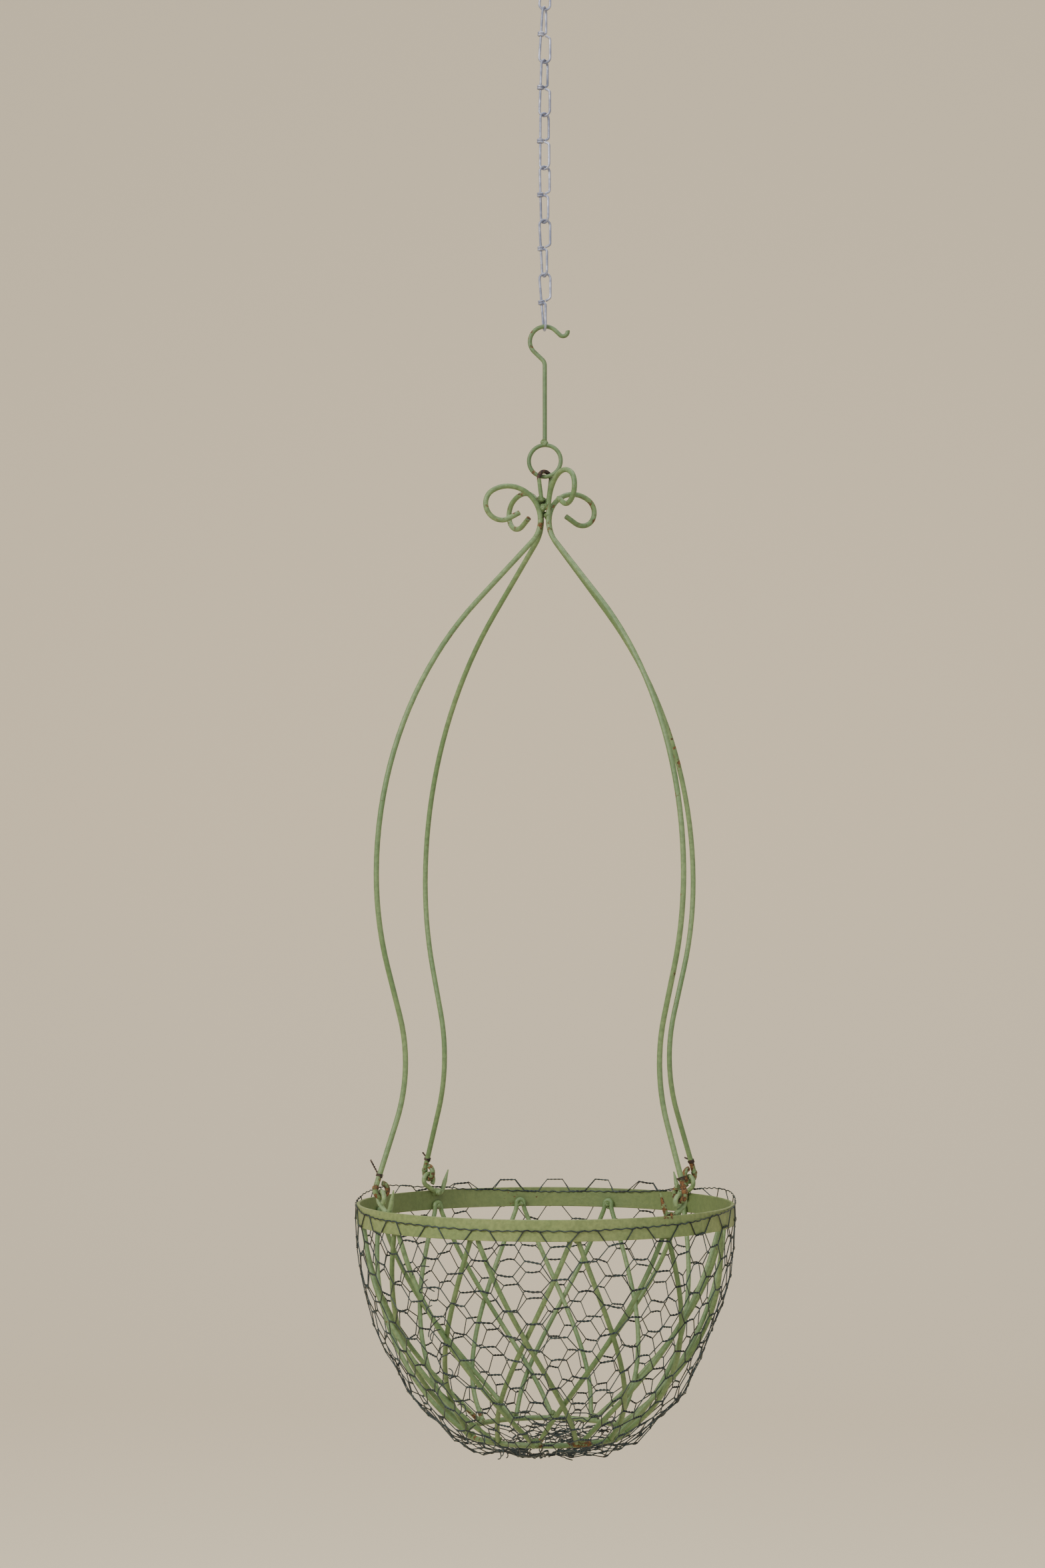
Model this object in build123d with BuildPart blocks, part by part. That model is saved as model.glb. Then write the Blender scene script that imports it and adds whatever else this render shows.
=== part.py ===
# Hanging basket of welded round rod and flat bar on a double-loop chain, with a wire-netting lining.
# Millimetres, +Z up. The origin is the inside top of the uppermost chain loop, where the basket hangs.
import os
from math import acos, asin, cos, pi, radians, sin, sqrt

from build123d import *

os.makedirs("parts", exist_ok=True)

# ---- clearances
play = 0.3  # between two wires that hang in each other
eye_play = 1.0  # between the hook's ring and the hanger eye, whose bends close in on each other
weld_gap = 0.1  # root gap between two pieces that a weld joins

# ---- chain: each link is one wire with two loops, wrapped round its own straight side in the middle
link_count = 7
link_wire = 2.4
link_length = 58.3  # outside length of one link
loop_width = 13.4  # outside width of each loop
link_wraps = 2
wrap_pitch_share = 0.875  # wraps' spacing along the stem over the wire's diameter
wrap_share = 0.93  # wrap's centreline radius over the wire's diameter, pressed into the stem
corner_share = 0.96  # bend at a loop's corner over half the loop's width
knot_bend_share = 0.6  # bend beside the knot over the bend at a loop's corner
knot_clear_share = 0.75  # height above the knot's middle where a loop begins, over the knot's height
loop_end_share = 0.2  # how far out from the knot's middle each loop's end stops
loop_turn = 80.0  # angle between the two loops of one link
link_turn = 15.0  # each link hangs turned this much from the next one down
last_link_heading = 5.0  # heading of the lowest link's upper loop, from +X

# ---- hook, its ring and the weld between them
hook_rod = 4.2
crook_radius = 14.5  # centreline
crook_lean = 45.0
shank_bend = 8.5
shank_length = 76.0
tip_run = 6.5
tip_curl_radius = 4.4
tip_curl_angle = 145.0
ring_od = 35.0
ring_wire = 4.0
ring_weld_radius = 3.4

# ---- hanger eye and neck, where the four arms are welded together
eye_rod = 4.0
eye_half_width = 8.5
eye_foot_half = 4.2
eye_height = 27.8
eye_bend = 7.0
eye_heading = -45.0
neck_radius = 5.0  # from the axis to each arm's centreline
neck_foot_below_eye_foot = 20.0
neck_weld_height = 19.0
neck_weld_radius = 4.3
neck_weld_round = 2.0

# ---- arms: scroll, shoulder, bulge, waist and eye, all bent in one upright plane
arm_rod = 5.0
scroll_turn = 123.0
scroll_curl_share = 0.5  # the tighter curl's radius over the scroll's radius
scroll_curl_turn = 177.0
scroll_tail = 12.0
neck_bend = 30.0
shoulder_angle = 44.0
shoulder_radius = 375.0
bulge_radius = 320.0
waist_in_angle = 15.9
bulge_run = 45.0
waist_radius = 160.0
waist_out_angle = 19.4
foot_run = 63.3
arm_eye_radius = 6.25  # centreline
arm_eye_turn = 278.0
arm_eye_weld = 3.1
arm_headings = {"front_left": -54.0, "front_right": 51.0, "back_right": 131.0, "back_left": 229.0}
scroll_headings = {"front_left": -66.0, "front_right": 33.0, "back_right": 124.0, "back_left": 222.0}
scroll_radii = {"front_left": 31.0, "front_right": 31.0, "back_right": 28.0, "back_left": 31.0}
neck_runs = {"front_left": 0.5, "front_right": 12.0, "back_right": 0.5, "back_left": 0.5}

# ---- tie wires round the arms, above their eyes
tie_wire = 1.0
tie_above_eye = 20.0
tie_turns = 2
tie_pitch_share = 0.9  # turns' spacing along the arm over the wire's diameter

# ---- rim band, and the pigtail hooks that link it to the arms
rim_od = 356.0
band_height = 19.0
band_thickness = 3.0
band_edge_round = 0.5
rim_hook_rod = 4.5
rim_ring_radius = 6.0  # centreline
rim_ring_above_band = 11.0
rim_ring_turn = 280.0
rim_limb_angle = 30.0
rim_limb_run = 16.0
rim_tail_bend = 5.0
rim_tail_turn = 99.0
rim_tail_run = 9.0
rim_tail_point = 12.0
rim_tail_taper = 8.0
hook_weld_radius = 4.4

# ---- bowl: hairpin rods, each leg sweeping one way round to the base ring
hairpins = 12
hairpin_rod = 4.5
hairpin_first = 15.0  # heading of the first apex
hairpin_bend = 3.6  # from the apex's middle to each leg's centreline
apex_drop = 2.2  # how far below the apex the legs begin, over hairpin_bend
apex_below_band_top = 12.0
bowl_arc_radius = 280.0  # of the bowl's side, in an upright plane
leg_sweep = 45.0
leg_spread = 2.0  # between the ends of two legs that meet, each way from their middle, in degrees
leg_even_share = 0.65  # share of the sweep that is even along the leg; the rest grows to the base
leg_steps = 7
apex_spread_share = 3.2  # how fast the legs part into two layers below the apex, over the leg's length
foot_close_share = 6.0  # how fast they come together again at the base ring
layer_gap = 0.4
base_ring_od = 154.0
base_ring_rod = 5.0
leg_stand_off = 1.1
rim_weld_radius = 4.0
base_weld_radius = 4.6

# ---- wire netting, held here as a closed skin of its outer shape
netting_skin = 1.2
netting_gap = 0.35
netting_slack = 12.0  # how far it stands off the base ring, growing from nothing at the rim
netting_slack_power = 1.5  # how late down the side that slack grows
netting_sag = 3.0
netting_flat = 40.0  # radius of the flat middle of its foot
netting_tuck = 3.0  # how far it hangs straight below the band
netting_meets_side = 12.0  # degrees below the rim at which it meets the rods' curve


def tan_deg(angle):
    return sin(radians(angle)) / cos(radians(angle))


def sin_deg(angle):
    return sin(radians(angle))


def cos_deg(angle):
    return cos(radians(angle))


def upright_plane(heading, height=0.0):
    """Plane through the axis: its x runs outward along the heading, its y is up."""
    outward = Vector(sin_deg(heading), -cos_deg(heading), 0)
    return Plane(origin=(0, 0, height), x_dir=outward, z_dir=outward.cross(Vector(0, 0, 1)))


def tangent_plane(heading, radius, height, sense):
    """Upright plane facing the axis at a radius: its x runs round the rim in the given sense."""
    along = Vector(cos_deg(heading), sin_deg(heading), 0) * sense
    origin = (radius * sin_deg(heading), -radius * cos_deg(heading), height)
    return Plane(origin=origin, x_dir=along, z_dir=along.cross(Vector(0, 0, 1)))


def start_plane(line):
    return Plane(origin=line @ 0, z_dir=line % 0)


def bend_radii(points, share=0.47):
    """One radius per inner point, so that each bend takes the same share of its shorter run."""
    radii = []
    for before, here, after in zip(points, points[1:], points[2:]):
        run_in = Vector(here) - Vector(before)
        run_out = Vector(after) - Vector(here)
        half_turn = run_in.get_angle(run_out) / 2
        radii.append(share * min(run_in.length, run_out.length) / tan_deg(half_turn))
    return radii


# ---- heights, worked out from the top down
link_reach = link_length - link_wire  # between the wire centres at a link's two ends
link_pitch = link_reach - link_wire - play
loop_half = (loop_width - link_wire) / 2
link_tops = [link_wire / 2 - link_pitch * i for i in range(link_count)]
chain_foot = link_tops[-1] - link_reach
hook_top = chain_foot + link_wire / 2 + hook_rod / 2 + play
crook_centre = hook_top - crook_radius
bend_out = shank_bend * (1 - cos_deg(crook_lean))
crook_run = (crook_radius * sin_deg(crook_lean) - bend_out) / sin_deg(crook_lean)
shank_top = crook_centre - (crook_radius + crook_run + shank_bend) * sin_deg(crook_lean)
shank_foot = shank_top - shank_length
ring_centre = shank_foot - weld_gap - ring_od / 2
ring_foot = ring_centre - (ring_od - ring_wire) / 2
eye_top = ring_foot + ring_wire / 2 + eye_rod / 2 + eye_play
eye_foot = eye_top - eye_height
neck_foot = eye_foot - neck_foot_below_eye_foot

band_inner = rim_od / 2 - band_thickness
limb_reach = rim_limb_run * cos_deg(rim_limb_angle)
rim_hook_radius = sqrt((band_inner - rim_hook_rod / 2 - weld_gap) ** 2 - limb_reach**2)

# The arm's straight upper run is the length that brings its eye out to the rim hooks.
upper_run = (
    rim_hook_radius
    + arm_eye_radius * cos_deg(waist_out_angle)
    - foot_run * sin_deg(waist_out_angle)
    - waist_radius * (cos_deg(waist_in_angle) - cos_deg(waist_out_angle))
    + bulge_run * sin_deg(waist_in_angle)
    + bulge_radius * (1 - cos_deg(waist_in_angle))
    - (shoulder_radius + neck_bend) * (1 - cos_deg(shoulder_angle))
    - neck_radius
) / sin_deg(shoulder_angle)
arm_drop = (
    (neck_bend + shoulder_radius) * sin_deg(shoulder_angle)
    + upper_run * cos_deg(shoulder_angle)
    + (bulge_radius + waist_radius) * sin_deg(waist_in_angle)
    + bulge_run * cos_deg(waist_in_angle)
    + (waist_radius + arm_eye_radius) * sin_deg(waist_out_angle)
    + foot_run * cos_deg(waist_out_angle)
)
arm_eye_centre = neck_foot - arm_drop
rim_ring_top = arm_eye_centre - arm_eye_radius + arm_rod / 2 + rim_hook_rod / 2 + play
rim_ring_centre = rim_ring_top - rim_ring_radius
rim_top = rim_ring_centre - rim_ring_above_band

leg_start_radius = band_inner - hairpin_rod / 2 - weld_gap
base_ring_radius = (base_ring_od - base_ring_rod) / 2
ring_angle = acos(1 - (leg_start_radius - base_ring_radius) / bowl_arc_radius)
base_ring_height = rim_top - bowl_arc_radius * sin(ring_angle)
first_angle = asin((apex_below_band_top + apex_drop * hairpin_bend) / bowl_arc_radius)
last_angle = ring_angle - (base_ring_rod / 2 + leg_stand_off) / bowl_arc_radius
layer_shift = (hairpin_rod + layer_gap) / 2
apex_half_angle = hairpin_bend / leg_start_radius * 180 / pi
print("rim top", round(rim_top, 2), "base ring", round(base_ring_height, 2))
print("arm upper run", round(upper_run, 2), "arm drop", round(arm_drop, 2))


def bowl_point(share, heading, shift=0.0):
    """A point on the bowl's side: share runs from the apexes (0) to the base ring (1)."""
    angle = first_angle + (last_angle - first_angle) * share
    radius = leg_start_radius - bowl_arc_radius * (1 - cos(angle)) + shift * cos(angle)
    height = rim_top - bowl_arc_radius * sin(angle) - shift * sin(angle)
    return Vector(radius * sin_deg(heading), -radius * cos_deg(heading), height)


def leg_heading(share):
    """How far round a leg has swept from its apex, in degrees."""
    grown = leg_even_share * share + (1 - leg_even_share) * share**2
    return apex_half_angle + (leg_sweep - leg_spread - apex_half_angle) * grown


def leg_layer(share):
    """The legs lie in one layer at both ends, and pass each other in two layers between."""
    return layer_shift * min(1.0, apex_spread_share * share, foot_close_share * (1 - share))


# ---- the chain: one link shaped with its top at the origin, then hung once for each place
upper = Vector(1, 0, 0) * loop_half
lower = Vector(cos_deg(loop_turn), -sin_deg(loop_turn), 0) * loop_half
middle = Vector(0, 0, -link_reach / 2)
foot = Vector(0, 0, -link_reach)
stem_middle = middle - (upper + lower) / 2
knot_end = Vector(0, 0, link_wire * link_wraps / 4)
loop_start = Vector(0, 0, link_wire * link_wraps * knot_clear_share)
link_route = [
    middle + (upper - lower) * loop_end_share + knot_end,
    middle + upper + loop_start,
    upper,
    -upper,
    foot - lower,
    foot + lower,
    middle + lower - loop_start,
    middle + (lower - upper) * loop_end_share - knot_end,
]
corner = loop_half * corner_share
knot_bend = corner * knot_bend_share
stem_direction = (link_route[3] - link_route[4]).normalized()
with BuildPart() as link_shape:
    with BuildLine() as wire_line:
        FilletPolyline(*link_route, radius=[knot_bend] + [corner] * 4 + [knot_bend])
    link_path = wire_line.wires()[0]
    with BuildSketch(start_plane(link_path)):
        Circle(link_wire / 2)
    sweep(path=link_path)
    for turn in range(link_wraps):
        wrap_shift = link_wire * wrap_pitch_share * (turn - (link_wraps - 1) / 2)
        wrap_centre = stem_middle + stem_direction * wrap_shift
        with Locations(Plane(origin=wrap_centre, z_dir=stem_direction)):
            Torus(link_wire * wrap_share, link_wire / 2)

for number in range(link_count):
    heading = last_link_heading + link_turn * (link_count - 1 - number)
    with BuildPart() as chain_link:
        with Locations(Location((0, 0, link_tops[number]), (0, 0, heading))):
            add(link_shape.part)
    chain_link.part.label = f"chain_link_{number + 1}"
    export_step(chain_link.part, f"parts/chain_link_{number + 1}.step")

# ---- the hook: shank, crook and a tip that curls up
with BuildPart() as hook:
    with BuildLine(Plane.XZ) as hook_line:
        shank = Line((0, shank_foot), (0, shank_top))
        bend = JernArc(shank @ 1, shank % 1, shank_bend, crook_lean)
        rise = Line(bend @ 1, bend @ 1 + crook_run * (bend % 1))
        crook = JernArc(rise @ 1, rise % 1, crook_radius, -(180 + 2 * crook_lean - 90))
        fall = Line(crook @ 1, crook @ 1 + tip_run * (crook % 1))
        JernArc(fall @ 1, fall % 1, tip_curl_radius, tip_curl_angle)
    hook_path = hook_line.wires()[0]
    with BuildSketch(start_plane(hook_path)):
        Circle(hook_rod / 2)
    sweep(path=hook_path)
hook.part.label = "hook_rod"
export_step(hook.part, "parts/hook_rod.step")

with BuildPart() as hook_ring:
    with BuildSketch(Plane.XY.offset(ring_centre)):
        with Locations(((ring_od - ring_wire) / 2, 0)):
            Circle(ring_wire / 2)
    revolve(axis=Axis((0, 0, ring_centre), (0, 1, 0)))
hook_ring.part.label = "hook_ring"
export_step(hook_ring.part, "parts/hook_ring.step")

with BuildPart() as ring_weld:
    with Locations((0, 0, shank_foot - weld_gap / 2)):
        Sphere(ring_weld_radius)
ring_weld.part.label = "ring_weld"
export_step(ring_weld.part, "parts/ring_weld.step")

# ---- the hanger eye, an arch of thinner rod between the arms
with BuildPart() as hanger_eye:
    with BuildLine(upright_plane(eye_heading)) as eye_line:
        FilletPolyline(
            (-eye_foot_half, eye_foot),
            (-eye_half_width, eye_top),
            (eye_half_width, eye_top),
            (eye_foot_half, eye_foot),
            radius=eye_bend,
        )
    eye_path = eye_line.wires()[0]
    with BuildSketch(start_plane(eye_path)):
        Circle(eye_rod / 2)
    sweep(path=eye_path)
hanger_eye.part.label = "hanger_eye"
export_step(hanger_eye.part, "parts/hanger_eye.step")

# ---- the weld that fills the middle of the neck, up to the eye's feet
with BuildPart() as neck_weld:
    with Locations((0, 0, eye_foot + eye_rod / 2 - neck_weld_height / 2)):
        Cylinder(neck_weld_radius, neck_weld_height)
    fillet(neck_weld.edges().filter_by(GeomType.CIRCLE), radius=neck_weld_round)
neck_weld.part.label = "neck_weld"
export_step(neck_weld.part, "parts/neck_weld.step")

# ---- the four arms
for place, heading in arm_headings.items():
    with BuildPart() as arm:
        with BuildLine(upright_plane(heading)) as arm_line:
            neck = Line((neck_radius, neck_foot + neck_runs[place]), (neck_radius, neck_foot))
            flare = JernArc(neck @ 1, neck % 1, neck_bend, shoulder_angle)
            upper = Line(flare @ 1, flare @ 1 + upper_run * (flare % 1))
            shoulder = JernArc(upper @ 1, upper % 1, shoulder_radius, -shoulder_angle)
            bulge = JernArc(shoulder @ 1, shoulder % 1, bulge_radius, -waist_in_angle)
            run_in = Line(bulge @ 1, bulge @ 1 + bulge_run * (bulge % 1))
            waist = JernArc(run_in @ 1, run_in % 1, waist_radius, waist_in_angle + waist_out_angle)
            foot = Line(waist @ 1, waist @ 1 + foot_run * (waist % 1))
            JernArc(foot @ 1, foot % 1, arm_eye_radius, -arm_eye_turn)
        scroll_out = upright_plane(scroll_headings[place]).x_dir
        scroll_radius = scroll_radii[place]
        with BuildLine(Plane(neck @ 0, scroll_out, scroll_out.cross(Vector(0, 0, 1)))) as scroll_line:
            scroll = JernArc((0, 0), (0, 1), scroll_radius, -scroll_turn)
            curl_radius = scroll_radius * scroll_curl_share
            curl = JernArc(scroll @ 1, scroll % 1, curl_radius, -scroll_curl_turn)
            Line(curl @ 1, curl @ 1 + scroll_tail * (curl % 1))
        arm_path = Wire([*arm_line.edges(), *scroll_line.edges()])
        with BuildSketch(start_plane(arm_path)):
            Circle(arm_rod / 2)
        sweep(path=arm_path)
        closing = foot @ 1
        with Locations(Location(closing)):
            Sphere(arm_eye_weld)
    arm.part.label = f"arm_{place}"
    export_step(arm.part, f"parts/arm_{place}.step")

# ---- tie wires twisted round the arms above their eyes
with BuildPart() as tie_wires:
    for heading in arm_headings.values():
        tie_height = arm_eye_centre + tie_above_eye
        tie_radius = (
            rim_hook_radius
            + arm_eye_radius / cos_deg(waist_out_angle)
            - tie_above_eye * tan_deg(waist_out_angle)
        )
        lean = Vector(-sin_deg(waist_out_angle), cos_deg(waist_out_angle))
        tie_plane = upright_plane(heading)
        along = tie_plane.x_dir * lean.X + Vector(0, 0, 1) * lean.Y
        spot = tie_plane.x_dir * tie_radius + Vector(0, 0, tie_height)
        for turn in range(tie_turns):
            step = (turn - (tie_turns - 1) / 2) * tie_wire * tie_pitch_share
            with Locations(Plane(origin=spot + along * step, z_dir=along)):
                Torus(arm_rod / 2 + tie_wire / 2 + weld_gap, tie_wire / 2)
tie_wires.part.label = "tie_wires"
export_step(tie_wires.part, "parts/tie_wires.step")

# ---- the rim band, rolled from flat bar
with BuildPart() as rim_band:
    with BuildSketch(Plane.XY.offset(rim_top - band_height)):
        Circle(rim_od / 2)
        Circle(band_inner, mode=Mode.SUBTRACT)
    extrude(amount=band_height)
    fillet(rim_band.edges().filter_by(GeomType.CIRCLE), radius=band_edge_round)
rim_band.part.label = "rim_band"
export_step(rim_band.part, "parts/rim_band.step")

# ---- pigtail hooks: a ring round each arm's eye, a limb welded to the band, and a pointed tail
hook_weld_spots = []
for place, heading in arm_headings.items():
    sense = 1 if place in ("front_left", "back_right") else -1
    face = tangent_plane(heading, rim_hook_radius, rim_ring_centre, sense)
    ring_start = -90 - rim_limb_angle - rim_ring_turn
    with BuildPart() as rim_hook:
        with BuildLine(face) as hook_wire:
            ring = JernArc(
                (rim_ring_radius * cos_deg(ring_start), rim_ring_radius * sin_deg(ring_start)),
                (-sin_deg(ring_start), cos_deg(ring_start)),
                rim_ring_radius,
                rim_ring_turn,
            )
            limb = Line(ring @ 1, ring @ 1 + rim_limb_run * (ring % 1))
            bend = JernArc(limb @ 1, limb % 1, rim_tail_bend, rim_tail_turn)
            tail = Line(bend @ 1, bend @ 1 + rim_tail_run * (bend % 1))
        hook_path = hook_wire.wires()[0]
        with BuildSketch(start_plane(hook_path)):
            Circle(rim_hook_rod / 2)
        sweep(path=hook_path)
        with BuildSketch(Plane(origin=tail @ 1, z_dir=tail % 1)):
            Circle(rim_hook_rod / 2)
        extrude(amount=rim_tail_point, taper=rim_tail_taper)
    rim_hook.part.label = f"rim_hook_{place}"
    export_step(rim_hook.part, f"parts/rim_hook_{place}.step")
    hook_weld_spots.append(limb @ 1)

with BuildPart() as hook_welds:
    with Locations(*[Location(spot) for spot in hook_weld_spots]):
        Sphere(hook_weld_radius)
hook_welds.part.label = "hook_welds"
export_step(hook_welds.part, "parts/hook_welds.step")

# ---- the base ring
with BuildPart() as base_ring:
    with Locations((0, 0, base_ring_height)):
        Torus(base_ring_radius, base_ring_rod / 2)
base_ring.part.label = "base_ring"
export_step(base_ring.part, "parts/base_ring.step")

# ---- the hairpin rods
shares = [step / leg_steps for step in range(leg_steps + 1)]
for number in range(hairpins):
    apex = hairpin_first + 360 / hairpins * number
    apex_plane = tangent_plane(apex, leg_start_radius, rim_top - apex_below_band_top, 1)
    inner_leg = [bowl_point(t, apex - leg_heading(t), -leg_layer(t)) for t in shares]
    outer_leg = [bowl_point(t, apex + leg_heading(t), leg_layer(t)) for t in shares]
    crown = [
        apex_plane.from_local_coords((-hairpin_bend, 0)),
        apex_plane.from_local_coords((hairpin_bend, 0)),
    ]
    route = inner_leg[::-1] + crown + outer_leg
    with BuildPart() as hairpin:
        with BuildLine() as rod_line:
            FilletPolyline(*route, radius=bend_radii(route))
        rod_path = rod_line.wires()[0]
        with BuildSketch(start_plane(rod_path)):
            Circle(hairpin_rod / 2)
        sweep(path=rod_path)
    hairpin.part.label = f"bowl_rod_{number + 1:02d}"
    export_step(hairpin.part, f"parts/bowl_rod_{number + 1:02d}.step")

# ---- weld metal at the hairpins' apexes and at their feet
with BuildPart() as rim_welds:
    for number in range(hairpins):
        apex = hairpin_first + 360 / hairpins * number
        spot = bowl_point(0, apex) + Vector(0, 0, hairpin_bend)
        with Locations(Location(spot)):
            Sphere(rim_weld_radius)
rim_welds.part.label = "rim_welds"
export_step(rim_welds.part, "parts/rim_welds.step")

with BuildPart() as base_welds:
    for number in range(hairpins):
        meeting = hairpin_first + leg_sweep + 360 / hairpins * number
        with Locations(Location(bowl_point(1, meeting))):
            Sphere(base_weld_radius)
base_welds.part.label = "base_welds"
export_step(base_welds.part, "parts/base_welds.step")

# ---- the netting's outer shape: a deep bowl, open at the top
netting_inside = layer_shift + hairpin_rod / 2 + netting_gap
netting_reach = bowl_arc_radius + netting_inside
netting_wall = rim_od / 2 + netting_gap
side_centre = leg_start_radius - bowl_arc_radius


def netting_point(angle, skin):
    """A point on one face of the netting's curved side, by its angle below the rim."""
    down = radians(angle) / ring_angle
    reach = netting_reach + netting_slack * down**netting_slack_power + skin
    return (side_centre + reach * cos_deg(angle), rim_top - reach * sin_deg(angle))


def netting_face(skin):
    """One face of the netting in section, from the rim's top to the middle of its foot."""
    foot_angle = ring_angle * 180 / pi
    middle_angle = (netting_meets_side + foot_angle) / 2
    wall_foot = rim_top - band_height - netting_tuck
    wall = Line((netting_wall + skin, rim_top), (netting_wall + skin, wall_foot))
    tuck = Line(wall @ 1, netting_point(netting_meets_side, skin))
    side = ThreePointArc(tuck @ 1, netting_point(middle_angle, skin), netting_point(foot_angle, skin))
    edge = side @ 1
    foot = edge.Y - netting_sag
    dish = Line(edge, (netting_flat, foot - skin / 2))
    flat = Line(dish @ 1, (0, foot - skin / 2))
    return wall @ 0, flat @ 1


with BuildPart() as wire_netting:
    with BuildSketch(Plane.XZ):
        with BuildLine():
            outer_top, outer_foot = netting_face(netting_skin)
            inner_top, inner_foot = netting_face(0)
            Line(outer_top, inner_top)
            Line(outer_foot, inner_foot)
        make_face()
    revolve(axis=Axis.Z)
wire_netting.part.label = "wire_netting"
export_step(wire_netting.part, "parts/wire_netting.step")
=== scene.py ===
import math
import random

import bmesh
import bpy
import numpy as np
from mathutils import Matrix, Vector, noise


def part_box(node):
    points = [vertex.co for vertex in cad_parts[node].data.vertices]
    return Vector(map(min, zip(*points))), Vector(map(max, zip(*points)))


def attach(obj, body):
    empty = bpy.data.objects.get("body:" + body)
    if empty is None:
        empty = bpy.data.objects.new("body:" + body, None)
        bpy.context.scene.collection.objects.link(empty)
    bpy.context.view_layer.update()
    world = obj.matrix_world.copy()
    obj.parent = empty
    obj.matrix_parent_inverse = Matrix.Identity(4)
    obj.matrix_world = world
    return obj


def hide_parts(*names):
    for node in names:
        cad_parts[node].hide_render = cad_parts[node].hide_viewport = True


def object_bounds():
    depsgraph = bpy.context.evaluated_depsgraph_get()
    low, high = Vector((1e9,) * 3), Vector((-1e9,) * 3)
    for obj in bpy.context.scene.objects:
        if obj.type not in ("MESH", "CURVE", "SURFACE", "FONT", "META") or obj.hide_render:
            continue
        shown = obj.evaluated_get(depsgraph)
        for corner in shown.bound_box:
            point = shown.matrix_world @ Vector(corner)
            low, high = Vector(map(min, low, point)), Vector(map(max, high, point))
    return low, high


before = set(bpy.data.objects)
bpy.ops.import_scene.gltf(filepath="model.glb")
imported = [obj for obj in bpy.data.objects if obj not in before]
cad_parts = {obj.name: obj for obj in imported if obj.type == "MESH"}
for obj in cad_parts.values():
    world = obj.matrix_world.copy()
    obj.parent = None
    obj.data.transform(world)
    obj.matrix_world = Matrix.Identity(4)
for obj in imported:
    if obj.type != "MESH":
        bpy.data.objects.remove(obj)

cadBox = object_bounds()
mm = 0.001
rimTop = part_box("rim_band")[1].z
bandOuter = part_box("rim_band")[1].x
print("stage: frame loaded, rim top", round(rimTop, 4))


# node helpers

def addNode(tree, kind, inputs=None, **settings):
    node = tree.nodes.new(kind)
    for key, value in settings.items():
        setattr(node, key, value)
    for key, value in (inputs or {}).items():
        if isinstance(value, bpy.types.NodeSocket):
            tree.links.new(value, node.inputs[key])
        else:
            node.inputs[key].default_value = value
    return node


def colour(hexText):
    parts = [int(hexText[i:i + 2], 16) / 255 for i in (0, 2, 4)]
    return tuple(p / 12.92 if p < 0.04045 else ((p + 0.055) / 1.055) ** 2.4 for p in parts) + (1.0,)


def newMaterial(name):
    material = bpy.data.materials.new(name)
    material.use_nodes = True
    tree = material.node_tree
    tree.nodes.clear()
    shader = addNode(tree, "ShaderNodeBsdfPrincipled")
    output = addNode(tree, "ShaderNodeOutputMaterial")
    tree.links.new(shader.outputs["BSDF"], output.inputs["Surface"])
    place = addNode(tree, "ShaderNodeTexCoord").outputs["Object"]
    return material, tree, shader, place


def noiseValue(tree, place, scale, detail=3.0, roughness=0.55):
    node = addNode(tree, "ShaderNodeTexNoise", {
        "Vector": place, "Scale": scale, "Detail": detail, "Roughness": roughness})
    return node.outputs["Fac"]


def ramp(tree, value, low, high, out0=0.0, out1=1.0):
    node = addNode(tree, "ShaderNodeMapRange", {
        "Value": value, "From Min": low, "From Max": high, "To Min": out0, "To Max": out1},
        interpolation_type="SMOOTHSTEP")
    return node.outputs["Result"]


def maths(tree, operation, first, second):
    node = addNode(tree, "ShaderNodeMath", {0: first, 1: second}, operation=operation)
    return node.outputs["Value"]


def mixColour(tree, factor, first, second):
    node = addNode(tree, "ShaderNodeMix", {0: factor, 6: first, 7: second}, data_type="RGBA")
    return node.outputs[2]


# green paint on steel, chipped down to rust; zones are height bands where more of it has gone

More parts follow.
